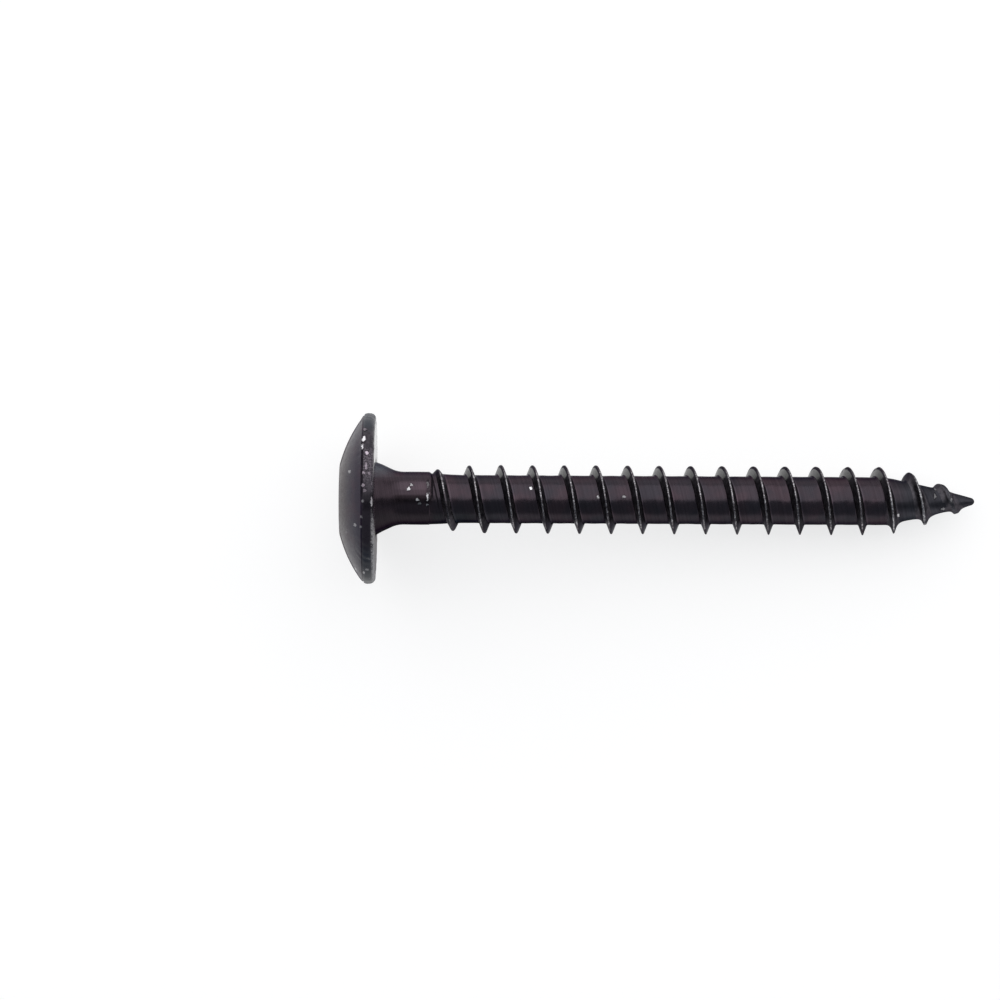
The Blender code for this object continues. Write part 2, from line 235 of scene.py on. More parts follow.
def screw_matrix():
    """Where the screw's own axes lie: X along its length, and Z through its upper side."""
    forward = Vector(BEARING_MOUNT["axis"]).normalized()
    side = Vector((0.0, 1.0, 0.0))
    upward = forward.cross(side).normalized()
    origin = Vector(BEARING_MOUNT["pos_m"]) - upward * MOUNT_REACH
    rotation = Matrix((forward, side, upward)).transposed()
    return Matrix.Translation(origin) @ rotation.to_4x4()


def arc(centre_x, centre_r, radius, start, end, steps):
    """Points of an arc: centre plus radius times cosine and sine of evenly spaced angles."""
    angle = np.linspace(start, end, steps + 1)
    return np.column_stack((centre_x + radius * np.cos(angle), centre_r + radius * np.sin(angle)))


def straight(start, end, steps):
    """Points evenly spaced from start to end, without start."""
    part = np.linspace(0.0, 1.0, steps + 1)[1:].reshape((-1,) + (1,) * np.ndim(start))
    return np.asarray(start) + (np.asarray(end) - np.asarray(start)) * part


def rounded(before, corner, after, steps):
    """Quadratic curve: (1 - t) squared of before, 2t(1 - t) of corner and t squared of after."""
    t = np.linspace(0.0, 1.0, steps + 1).reshape((-1,) + (1,) * np.ndim(corner))
    return (1 - t) ** 2 * before + 2 * t * (1 - t) * corner + t ** 2 * after


def towards(start, end, distance):
    """The point that lies at a distance from start on the way to end."""
    way = end - start
    return start + way * (distance / np.linalg.norm(way, axis=-1, keepdims=True))


def broken(before, corner, after, reach, steps):
    """A corner rounded off from a reach before it to the same reach after it."""
    return rounded(towards(corner, before, reach), corner, towards(corner, after, reach), steps)


def smooth_step(value, low, high):
    """0 below low and 1 above high, with 3t squared minus 2t cubed between them."""
    t = np.clip((value - low) / (high - low), 0.0, 1.0)
    return t * t * (3 - 2 * t)


def waves(x, angle, length, count, seed):
    """Unevenness between 0 and 1: sines of the place along the axis and of whole waves round it.

    Each wave has its own length near the given one, whole number of turns round and start.
    """
    shortest, longest, round_limit = 0.7, 1.6, 9
    peak = 1.6                # of the sum, times the square root of the count
    draw = np.random.default_rng(seed)
    total = np.zeros(np.broadcast(x, angle).shape)
    for _ in range(count):
        per_metre = math.tau / (length * draw.uniform(shortest, longest)) * draw.choice((-1, 1))
        round_axis = draw.integers(0, round_limit)
        total = total + np.sin(per_metre * x + round_axis * angle + draw.uniform(0, math.tau))
    return 0.5 + 0.5 * total / math.sqrt(count) / peak


def turned(points, angle):
    """Rows of a turned surface: each point (x, r) becomes a ring (x, r cos a, r sin a)."""
    x, r = points[:, :1], points[:, 1:]
    return np.stack((x + 0 * angle, r * np.cos(angle), r * np.sin(angle)), axis=-1)


class LobedOutline:
    """The six-lobe outline as one line of columns, which can be moved in or out.

    Lobes and valleys are arcs that meet where the line between their centres crosses them.
    """

    def __init__(self, s):
        lobe_centre = s.recess_width / 2 - s.lobe_radius
        waist = s.recess_waist / 2
        spacing = math.radians(30)
        valley_radius = (
            (lobe_centre ** 2 + waist ** 2 - 2 * lobe_centre * waist * math.cos(spacing)
             - s.lobe_radius ** 2)
            / (2 * (s.lobe_radius - waist + lobe_centre * math.cos(spacing))))
        valley_centre = waist + valley_radius
        rise = valley_centre * math.sin(spacing)
        run = valley_centre * math.cos(spacing) - lobe_centre
        lobe_half = math.atan2(rise, run)
        valley_half = lobe_half - spacing
        part = np.arange(s.lobe_steps) / s.lobe_steps * 2 - 1
        lobe = np.arange(6)[:, None] * math.radians(60) + s.recess_turn
        valley = lobe + spacing
        middle = np.concatenate((lobe + 0 * part, valley + 0 * part), axis=1).ravel()
        facing = np.concatenate((lobe + lobe_half * part,
                                 valley + math.pi - valley_half * part), axis=1).ravel()
        is_lobe = np.tile(np.repeat((True, False), s.lobe_steps), 6)
        reach = np.where(is_lobe, lobe_centre, valley_centre)
        self.centre = reach[:, None] * np.column_stack((np.cos(middle), np.sin(middle)))
        self.facing = np.column_stack((np.cos(facing), np.sin(facing)))
        self.radius = np.where(is_lobe, s.lobe_radius, valley_radius)
        self.inwards = np.where(is_lobe, -1.0, 1.0)

    def at(self, inset):
        """Points (y, z) of the outline moved inwards: centre plus (radius and inset) outwards."""
        radius = self.radius + self.inwards * inset
        return self.centre + radius[:, None] * self.facing


def recess_rows(s, outline):
    """Rows of the recess from near the middle of its floor out to its mouth on the dome.

    Floor: a cone. Walls: the outline, moved inwards by depth times the draft's tangent.
    Mouth: a cone, met where the outline's reach equals the cone's radius at that depth. Each
    meeting place is found in a few rounds, by putting the last one's reach into the cone.
    """
    mouth_radius = s.mouth_diameter / 2
    mouth_x = dome_centre(s) - math.sqrt(s.dome_radius ** 2 - mouth_radius ** 2)
    draft, slope = math.tan(s.recess_draft), math.tan(s.mouth_angle)

    def on_wall(x):
        yz = outline.at((x - mouth_x) * draft)
        return np.column_stack((x + 0 * outline.radius, yz))

    middle = np.array((mouth_x + s.recess_depth + s.recess_floor, 0.0, 0.0))
    foot_x = np.full(len(outline.radius), mouth_x + s.recess_depth)
    for _ in range(SOLVING_ROUNDS):
        foot_reach = np.linalg.norm(on_wall(foot_x)[:, 1:], axis=1)
        foot_x = middle[0] - s.recess_floor * foot_reach / (s.recess_width / 2)
    foot = on_wall(foot_x)
    top_x = np.full(len(foot), mouth_x)
    for _ in range(SOLVING_ROUNDS):
        top_x = mouth_x + (mouth_radius - np.linalg.norm(on_wall(top_x)[:, 1:], axis=1)) / slope
    top = on_wall(top_x)
    angle = np.arctan2(top[:, 2], top[:, 1])
    mouth = turned(np.array(((mouth_x, mouth_radius),)), angle)[0]

    floor_fillet, edge_break = 0.00012, 0.00005
    near_middle = middle + 0.1 * (foot - middle)
    floor_rows = straight(near_middle, foot, steps=7)[:-1]
    foot_rows = broken(middle, foot, top, floor_fillet, steps=4)
    wall_rows = straight(foot_rows[-1], towards(top, foot, edge_break), steps=7)[:-1]
    edge_rows = broken(foot, top, mouth, edge_break, steps=3)
    bevel_rows = straight(edge_rows[-1], mouth, steps=3)[:-1]
    rows = np.concatenate((floor_rows, foot_rows, wall_rows, edge_rows, bevel_rows))
    return middle, rows, angle, (mouth_x, mouth_radius)


def dome_centre(s):
    """Place of the dome's centre on the axis, from its foot's radius and its own."""
    foot = s.head_diameter / 2 - s.rim_step
    return math.sqrt(s.dome_radius ** 2 - foot ** 2) - s.rim_height


def head_profile(s, mouth):
    """Profile (x, r) from the recess's mouth over dome and rim to the neck's foot."""
    head_radius = s.head_diameter / 2
    centre = dome_centre(s)
    mouth_angle = math.pi - math.asin(mouth[1] / s.dome_radius)
    foot_angle = math.pi - math.asin((head_radius - s.rim_step) / s.dome_radius)
    dome = arc(centre, 0.0, s.dome_radius, mouth_angle, foot_angle, steps=30)
    edge_break = 0.00007
    mouth = np.array(mouth)
    bevel_side = towards(mouth, mouth + (1.0, -math.tan(s.mouth_angle)), edge_break)
    mouth_edge = rounded(bevel_side, mouth, towards(dome[0], dome[1], edge_break), steps=3)
    break_angle = math.asin(1 - s.rim_step / s.rim_upper_radius)
    upper_centre = s.rim_upper_radius * math.cos(break_angle) - s.rim_height
    upper = arc(upper_centre, head_radius - s.rim_upper_radius, s.rim_upper_radius,
                math.pi - break_angle, math.pi / 2, steps=10)
    lower = arc(-s.rim_lower_radius, head_radius - s.rim_lower_radius, s.rim_lower_radius,
                math.pi / 2, 0.0, steps=8)
    face = straight(lower[-1], np.array((0.0, s.neck_diameter / 2)), steps=8)
    before, after = towards(dome[-1], dome[-2], s.fold_width / 2), upper[2]
    bottom = dome[-1] + np.array((s.fold_depth, -s.fold_depth))
    fold = rounded(before, 2 * bottom - (before + after) / 2, after, steps=8)
    near = np.linalg.norm(dome - dome[-1], axis=1) > s.fold_width / 2
    return np.concatenate((mouth_edge, dome[1:][near[1:]], fold, upper[3:], lower, face))


def shank_profile(s):
    """Profile (x, r) from the neck's cone through its blend and the plain shank to its bevel."""
    shank_radius = s.shank_diameter / 2
    flare = s.neck_diameter / 2 - shank_radius
    arc_flare = s.neck_blend * (1 - math.cos(s.neck_angle))
    cone_length = (flare - arc_flare) / math.tan(s.neck_angle)
    arc_end = cone_length + s.neck_blend * math.sin(s.neck_angle)
    blend = arc(arc_end, shank_radius + s.neck_blend, s.neck_blend,
                math.pi * 1.5 - s.neck_angle, math.pi * 1.5, steps=8)
    cone = straight(np.array((0.0, s.neck_diameter / 2)), blend[0], steps=5)
    edge = np.array((s.shank_length, shank_radius))
    apex = np.array((s.shank_length + shank_radius / math.tan(s.shank_bevel), 0.0))
    edge_break, from_apex = 0.00004, 0.0012
    corner = broken(blend[-1], edge, apex, edge_break, steps=3)
    shank = straight(blend[-1], corner[0], steps=10)
    bevel = straight(corner[-1], towards(apex, corner[-1], from_apex), steps=4)
    return np.concatenate((cone, blend[1:], shank, corner[1:], bevel)), apex


def grid_faces(here):
    """Faces between the neighbours of a grid of point numbers, row by row."""
    corners = (here[:-1, :-1], here[:-1, 1:], here[1:, 1:], here[1:, :-1])
    return np.stack(corners, axis=-1).reshape(-1, 4).tolist()


def fan_faces(loop, end):
    """Faces from each side of a closed loop of point numbers to one end point."""
    return np.column_stack((loop, np.roll(loop, -1), np.full(len(loop), end))).tolist()


def blank_mesh(s):
    """Head, recess, neck and plain shank as one stack of rings, closed by a fan at each end."""
    middle, recess, angle, mouth = recess_rows(s, LobedOutline(s))
    shank, apex = shank_profile(s)
    profile = np.concatenate((head_profile(s, mouth), shank))
    rings = turned(profile, angle)
    x, radius = profile[:, :1], profile[:, 1:]

    # The surface strays inwards, and more on the rim, whose bearing edge strays along the axis
    head_radius, rim_width, outer_width, along_share = s.head_diameter / 2, 0.0011, 0.0001, 1.4
    stray = s.unevenness * waves(x, angle, length=0.004, count=12, seed=3)
    on_rim = smooth_step(radius, head_radius - rim_width, head_radius - outer_width)
    rim_waves = waves(x, angle * 9, length=0.0012, count=10, seed=5)
    stray = stray + s.rim_unevenness * on_rim * rim_waves
    rings[..., 1:] *= (1 - stray / np.maximum(radius, 0.001))[..., None]
    at_edge = smooth_step(x, -s.rim_height * 0.5, -s.rim_height * 0.2) * on_rim * (x <= 0)
    edge_waves = waves(x, angle * 7, length=0.002, count=12, seed=17)
    rings[..., 0] -= along_share * s.rim_unevenness * at_edge * edge_waves ** 2

    # The shank sits off the axis to one side, and the dome with its recess to the other
    shank_from, dome_from = 0.0006, 0.0013
    rings[..., 1] += (s.shank_stray * smooth_step(x, 0.0, shank_from)
                      - s.dome_stray * smooth_step(-x, s.rim_height, dome_from))
    recess[..., 1] -= s.dome_stray

    rows = np.concatenate((recess, rings))
    points = np.concatenate((rows.reshape(-1, 3), (middle, (apex[0], 0.0, 0.0))))
    here = np.arange(len(points) - 2).reshape(len(rows), -1)
    faces = grid_faces(np.column_stack((here, here[:, 0])))
    faces += fan_faces(here[0], len(points) - 2) + fan_faces(here[-1], len(points) - 1)
    return points, faces


def run_in_swell(s, x):
    """How far the core swells: fully as far as the shank, falling evenly to none a pitch on."""
    return s.run_in_swell * (1 - np.clip((x - s.shank_length) / s.pitch, 0.0, 1.0))


def core_radius(s, x):
    """Radius of the core: straight, then a cone with a parabola's bulge, and a round tip."""
    tip = s.tip_diameter / 2
    part = np.clip((s.length - x) / s.point_length, 0.0, 1.0)
    radius = tip + (s.core_diameter / 2 - tip) * part + 4 * s.point_bulge * part * (1 - part)
    radius = radius + run_in_swell(s, x)
    inside_tip = np.clip((s.length - x) / tip, 0.0, 1.0)
    return radius * np.sqrt(1 - (1 - inside_tip) ** 2)


def thread_start(s):
    """Place along the axis where the ridge begins."""
    return s.shank_length - s.run_in_lead


def ridge_turns(s):
    """Turns of the ridge from its start to its end."""
    return (s.length - s.run_out_margin - thread_start(s)) / s.pitch


def ridge_height(s, turn):
    """Height of the ridge: it rises as u(2 - u) over its run-in and dies out as a power.

    A bell curve adds the knob in which it ends.
    """
    full = (s.thread_diameter - s.core_diameter) / 2
    run_in = np.clip(turn / s.run_in_turns, 0.0, 1.0)
    run_out = np.clip((ridge_turns(s) - turn) * s.pitch / s.run_out_length, 0.0, 1.0)
    swell = run_in_swell(s, thread_start(s) + s.pitch * turn)
    before_end, knob_turns = 0.17, 0.10
    knob = s.end_knob * np.exp(-((turn - ridge_turns(s) + before_end) / knob_turns) ** 2)
    return (full * run_in * (2 - run_in) * run_out ** s.run_out_power - swell + knob).clip(0.0)


def nicks(s, turn):
    """Loss of crest height: a sum of bell curves at seeded places along the ridge."""
    draw, count = np.random.default_rng(11), 60
    place = draw.uniform(0, ridge_turns(s), count)
    width = draw.uniform(0.006, 0.03, count)
    depth = s.nick_depth * draw.uniform(0.2, 1.0, count) ** 2
    bells = np.exp(-((turn[..., None] - place) / width) ** 2)
    return (bells * depth).sum(axis=-1)


def ridge_section(s, fillet, land):
    """Half a section of the ridge, from the crest's middle to the middle of the valley.

    Returns offsets along the axis and shares of the ridge's height, one row for each pair of
    fillet and half land.
    """
    full = (s.thread_diameter - s.core_diameter) / 2
    run = full * math.tan(s.flank_angle / 2)
    least_valley = 0.00005
    rise, least_reach, most_reach = 0.35, 0.25, 1.4     # of the fillet, as shares of the flank
    land_kept, flank_rounded = 0.45, 0.09               # by the rounding of the crest's edge
    fillet = np.minimum(fillet, s.pitch / 2 - land - run - least_valley)
    edge = np.column_stack((land, 0 * land + 1.0))
    foot = np.column_stack((land + run, 0 * land))
    up_flank = rise * np.clip(fillet / run, least_reach, most_reach)
    fillet_top = np.column_stack((land + run * (1 - up_flank), up_flank))
    fillet_end = np.column_stack((land + run + fillet, 0 * fillet))
    valley = np.column_stack((0 * land + s.pitch / 2, 0 * land))
    crest = rounded(edge * (land_kept, 1.0), edge, edge + (foot - edge) * flank_rounded, steps=3)
    down_flank = np.reshape((0.2, 0.6, 1.0), (-1, 1, 1))
    flank = crest[-1] + (fillet_top - crest[-1]) * down_flank
    root = rounded(fillet_top, foot, fillet_end, steps=5)[1:]
    floor = straight(fillet_end, valley, steps=4)
    section = np.concatenate((crest, flank, root, floor)).transpose(1, 0, 2)
    return section[..., 0], section[..., 1]


def thread_mesh(s):
    """Core, ridge and point as one helical strip, a pitch wide, whose edges join turn to turn.

    A row at turn t holds x = start + pitch t + offset and radius = core(x) + height(t) share.
    Beyond the tip's start, x closes in on the tip as one minus an exponential.
    """
    extra_turns = 1.15
    turn_count = (s.length - thread_start(s)) / s.pitch + extra_turns
    turn = np.arange(round(turn_count * s.turn_steps)) / s.turn_steps
    middle = thread_start(s) + s.pitch * turn

    # Fillets widen along the point, sooner and wider on the -Y side, and the land along the
    # run-out, each by a share that rises smoothly between two places on the axis
    facing = 0.5 + 0.5 * np.sin(math.tau * turn)
    sooner, least = 0.2 * s.point_length, 0.65
    point_share = smooth_step(middle + sooner * facing, s.length - 1.05 * s.point_length,
                              s.length - 0.35 * s.point_length)
    point_share = point_share * (least + (1 - least) * facing)
    end_share = smooth_step(middle, s.length - s.run_out_margin - s.run_out_length,
                            s.length - s.run_out_margin - 0.3 * s.run_out_length)
    offset, height_share = ridge_section(
        s, s.root_fillet + (s.point_fillet - s.root_fillet) * point_share,
        (s.crest_width + (s.last_crest_width - s.crest_width) * end_share) / 2)
    offset = np.concatenate((-offset[:, ::-1], offset[:, :-1]), axis=1)
    height_share = np.concatenate((height_share[:, ::-1], height_share[:, :-1]), axis=1)
    height = (ridge_height(s, turn) - nicks(s, turn)).clip(0.0)[:, None] * height_share

    angle = math.tau * turn[:, None]
    x = middle[:, None] + offset
    tip_start = s.length - 0.8 * s.tip_diameter
    over = np.maximum(x - tip_start, 0.0)
    closing = s.length - tip_start
    x = np.where(over > 0, s.length - closing * np.exp(-over / closing), x)
    radius = core_radius(s, x)
    stray = s.unevenness * waves(x, angle, length=0.0016, count=14, seed=7)
    stray = stray * np.clip(radius / (s.core_diameter / 2), 0.0, 1.0)
    radius = radius + height - stray

    # The middle crests sit nearer the tip, by a sine between the run-in and the point
    straight_from, straight_to = 3.5 * s.pitch, s.length - 1.06 * s.point_length
    part = np.clip((x - straight_from) / (straight_to - straight_from), 0.0, 1.0)
    x = x + s.crest_stray * np.sin(math.pi * part)
    points = np.stack((x, -radius * np.sin(angle), radius * np.cos(angle)), axis=-1)

    # Faces of the strip, of the seam to the next turn, and of a fan at each end
    here = np.arange(x.size).reshape(x.shape)
    step = s.turn_steps
    seam = np.column_stack((here[:-step, -1], here[step:, 0]))
    first = np.concatenate((here[0], here[step:0:-1, 0]))
    last = np.concatenate((here[-1, ::-1], here[-1 - step:-1, -1]))
    ends = ((thread_start(s) - s.pitch, 0.0, 0.0), (s.length, 0.0, 0.0))
    points = np.concatenate((points.reshape(-1, 3), ends))
    faces = grid_faces(here) + grid_faces(seam)
    return points, faces + fan_faces(first, here.size) + fan_faces(last, here.size + 1)


def shown(name, data):
    """A new object of the data, in the scene."""
    made = bpy.data.objects.new(name, data)
    bpy.context.scene.collection.objects.link(made)
    return made


def closed_object(name, points, faces):
    """A mesh object whose faces all point outwards; the faces share every point they meet in."""
    mesh = bpy.data.meshes.new(name)
    mesh.from_pydata(points.tolist(), [], faces)
    form = bmesh.new()
    form.from_mesh(mesh)
    bmesh.ops.recalc_face_normals(form, faces=form.faces)
    open_edges = sum(1 for edge in form.edges if not edge.is_manifold)
    form.to_mesh(mesh)
    form.free()
    if open_edges:
        raise RuntimeError(f"{name} has {open_edges} open edges")
    return shown(name, mesh)


def united(name, first, second):
    """One mesh object from two closed ones, by an exact Boolean union."""
    step = first.modifiers.new("join", "BOOLEAN")
    step.operation = "UNION"
    step.solver = "EXACT"
    step.object = second
    depsgraph = bpy.context.evaluated_depsgraph_get()
    mesh = bpy.data.meshes.new_from_object(first.evaluated_get(depsgraph))
    mesh.name = name
    for used in (first, second):
        bpy.data.objects.remove(used, do_unlink=True)
    return shown(name, mesh)


def on_ridge(s, points):
    """Each point's distance along the axis from its crest, and the ridge's height there.

    The third result is the share of that height that the point has above the core.
    """
    x, radius = points[:, 0], np.linalg.norm(points[:, 1:], axis=1)
    around = np.arctan2(-points[:, 1], points[:, 2]) / math.tau
    along = (x - thread_start(s)) / s.pitch - around
    offset = (along - np.round(along)) * s.pitch
    height = ridge_height(s, np.round(along) + around)
    return offset, height, (radius - core_radius(s, x)) / np.maximum(height, 1e-6)


def recess_gap(s, points):
    """Distance between each point's reach and the lobed outline's reach in that direction."""
    outline = LobedOutline(s).at(0.0)
    side, up = points[:, 1] + s.dome_stray, points[:, 2]
    reach = np.interp(np.arctan2(up, side), np.arctan2(outline[:, 1], outline[:, 0]),
                      np.linalg.norm(outline, axis=1), period=math.tau)
    return np.abs(np.hypot(side, up) - reach)


def wear_and_shade_fields(s, points):
    """Fields for worn places and for painted shade, 1 there and 0 elsewhere, at each point.

    The crest field is the share of the ridge's height that a point has, beyond nine tenths. The
    others come from the distance to an edge, or from the place along and across the axis.
    """
    x, radius = points[:, 0], np.linalg.norm(points[:, 1:], axis=1)
    head_radius, neck_radius = s.head_diameter / 2, s.neck_diameter / 2
    flat_radius = head_radius - s.rim_lower_radius
    rounding = 0.3 * s.rim_lower_radius

    def near(edge_x, edge_radius, reach):
        """1 on a round edge, falling evenly to 0 at a reach from it."""
        return (1 - np.hypot(x - edge_x, radius - edge_radius) / reach).clip(0.0)

    offset, height, part = on_ridge(s, points)
    crest = smooth_step(part, 0.90, 0.985) * smooth_step(height, 0.00012, 0.0003)
    on_head = x <= HAIR
    on_rim = on_head * smooth_step(radius, head_radius - 0.0007, head_radius - 0.0004)
    in_recess = (x < -0.0004) * (radius < s.mouth_diameter / 2 + 0.0002)
    return {
        "crest": crest * (np.abs(offset) < s.last_crest_width) * (x > s.shank_length),
        "fold": near(-s.rim_height, head_radius - s.rim_step, 0.00030),
        "rim": near(-rounding, head_radius - rounding, 0.00035),
        "bearing": on_head * (x > -0.0002)
        * smooth_step(radius, flat_radius + 0.0002, flat_radius - 0.0001)
        * smooth_step(radius, neck_radius, neck_radius + 0.0004),
        "wall": on_rim * smooth_step(x, -s.rim_height - 0.00003, -s.rim_height + 0.0001),
        "lower_edge": on_rim * smooth_step(x, -0.00027, -0.00015),
        "recess_wall": in_recess * (1 - recess_gap(s, points) / 0.00018).clip(0.0),
        "shank_edge": near(s.shank_length, s.shank_diameter / 2, 0.00012),
    }


def finish_index(s, points):
    """Which finish a face has: 0 head, 1 rolled, 2 lit flank and 3 shaded flank.

    The rolled finish is on the neck, the shank, the core and the crest's land. Flanks are told
    by their share of the ridge's height. On the +Y side, toward the light, beyond the first turn
    and up to a line along the crest, they take the lit copy of the flank coating. Elsewhere they
    take its darker shaded copy, which is painted shade.
    """
    foot, lit_flank_top, land = 0.10, 0.78, 0.95           # shares of the ridge's height
    least_height, lit_side_reach = 0.0001, 0.76
    x, radius = points[:, 0], np.linalg.norm(points[:, 1:], axis=1)
    _, height, part = on_ridge(s, points)
    flank = (part > foot) & (part < land) & (height > least_height) & (x > s.shank_length)
    lit_side = (points[:, 1] > lit_side_reach * radius) & (x > s.shank_length + 0.6 * s.pitch)
    lit_side = lit_side & (x < s.length - 0.8 * s.point_length) & (part < lit_flank_top)
    return np.where(x <= 0, 0, np.where(flank, np.where(lit_side, 2, 3), 1))


def vectors_of(items, key):
    """A row of three numbers for each of a mesh's items."""
    values = np.zeros(len(items) * 3)
    items.foreach_get(key, values)
    return values.reshape(-1, 3)


class SCREW_OT_form_screw(bpy.types.Operator):
    """Form the screw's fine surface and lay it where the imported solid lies"""

    bl_idname = "screw.form_screw"
    bl_label = "Form Screw"

    def execute(self, context):
        s = context.scene.screw_sizes
        blank = closed_object("blank", *blank_mesh(s))
        thread = closed_object("thread", *thread_mesh(s))
        screw = united("fine_screw", blank, thread)
        mesh = screw.data
        for name, values in wear_and_shade_fields(s, vectors_of(mesh.vertices, "co")).items():
            field = mesh.attributes.new(name, "FLOAT", "POINT")
            field.data.foreach_set("value", values.astype(np.float32))
        mesh.materials.clear()
        finish = context.scene.screw_finish
        for coat in (head_black(s, finish), rolled_black(s, finish), lit_flank_black(finish),
                     shaded_flank_black(finish)):
            mesh.materials.append(coat)
        index = finish_index(s, vectors_of(mesh.polygons, "center"))
        mesh.polygons.foreach_set("material_index", index.astype(np.int32))
        mesh.transform(screw_matrix())
        mesh.shade_smooth()
        mesh.set_sharp_from_angle(angle=SHARP_ANGLE)
        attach(screw, BODY)
        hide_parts(NODE)
        return {"FINISHED"}


class Shading:
    """The nodes of a material or the world, with short calls for the kinds that are used most.

    A node's input is given as a number, a colour, another node's output, the name of a value, or
    a band of a value: its name, where the band starts and where it is full, and then what it goes
    from and to if that isn't 0 and 1.
    """

    def __init__(self, owner, shader="Principled BSDF"):
        owner.use_nodes = True
        self.tree = owner.node_tree
        self.shader = self.tree.nodes[shader]
        self.values = {}

    def read(self, source):
        """What a name or a band stands for. A name without a value is a field of the mesh."""
        if isinstance(source, str):
            if source not in self.values:
                field = self.node("Attribute", (), attribute_name=source)
                self.values[source] = field.outputs["Fac"]
            return self.values[source]
        if isinstance(source, tuple) and isinstance(source[0], str):
            return self.between(*source)
        return source

    def feed(self, node, inputs):
        """Feed a node's inputs, which are given by number or name."""
        for key, source in inputs.items():
            socket, source = node.inputs[key], self.read(source)
            if isinstance(source, bpy.types.NodeSocket):
                self.tree.links.new(source, socket)
            elif socket.type == "RGBA":
                socket.default_value = (*source, 1.0)
            else:
                socket.default_value = source

    def node(self, kind, inputs, **settings):
        """A new node with its settings, and its inputs in order or by number or name."""
        made = self.tree.nodes.new("ShaderNode" + kind)
        for key, value in settings.items():
            setattr(made, key, value)
        self.feed(made, inputs if isinstance(inputs, dict) else dict(enumerate(inputs)))
        return made

    def math(self, operation, first, *others):
        """An operation on two numbers, taken on from the first number to the last."""
        first = self.read(first)
        for other in others:
            first = self.node("Math", (first, other), operation=operation).outputs[0]
        return first

    def total(self, *values):
        """Sum of numbers."""
        return self.math("ADD", *values)

    def every(self, *masks):
        """Product of masks, 1 where all of them are."""
        return self.math("MULTIPLY", *masks)

    def most(self, *masks):
        """Largest of masks, 1 where any of them is."""
        return self.math("MAXIMUM", *masks)

    def without(self, mask):
        """What a mask leaves over, 1 where it is 0."""
        return self.math("SUBTRACT", 1.0, mask)

    def off(self, value, middle=0.0):
        """Distance of a number from a middle one."""
        return self.math("ABSOLUTE", self.math("SUBTRACT", value, middle), 0.0)

    def between(self, value, low, high, low_value=0.0, high_value=1.0):
        """Smooth change from low_value to high_value as value goes from low to high."""
        return self.node("MapRange", (value, low, high, low_value, high_value),
                         interpolation_type="SMOOTHSTEP").outputs[0]

    def toned(self, tone, level, *masks):
        """Tone times level where all the masks are 1, and left as it is where one is 0."""
        return self.every(tone, self.between(self.every(*masks), 0.0, 1.0, 1.0, level))

    def mix(self, part, first, second, blend="MIX"):
        """Colour mix of first and second."""
        return self.node("Mix", {0: part, 6: first, 7: second}, data_type="RGBA",
                         blend_type=blend).outputs[2]

    def vector(self, operation, inputs, output=0):
        """An operation on vectors."""
        return self.node("VectorMath", inputs, operation=operation).outputs[output]

    def scaled(self, tint, tone):
        """A node's colour or vector times a number."""
        return self.vector("SCALE", {0: tint, "Scale": tone})

    def noise(self, place, scale, detail=3.0, roughness=0.5, output="Fac"):
        """A cloudy pattern, about 0.5 in the middle."""
        return self.node("TexNoise", {"Vector": place, "Scale": scale, "Detail": detail,
                                      "Roughness": roughness}).outputs[output]

    def placed(self, stretch=(1, 1, 1)):
        """Place in the screw's own axes, in millimetres over the stretch."""
        where = screw_matrix()
        inputs = {"Vector": self.node("TexCoord", ()).outputs["Object"],
                  "Location": where.translation, "Rotation": where.to_euler(),
                  "Scale": [0.001 * part for part in stretch]}
        return self.node("Mapping", inputs, vector_type="TEXTURE").outputs[0]


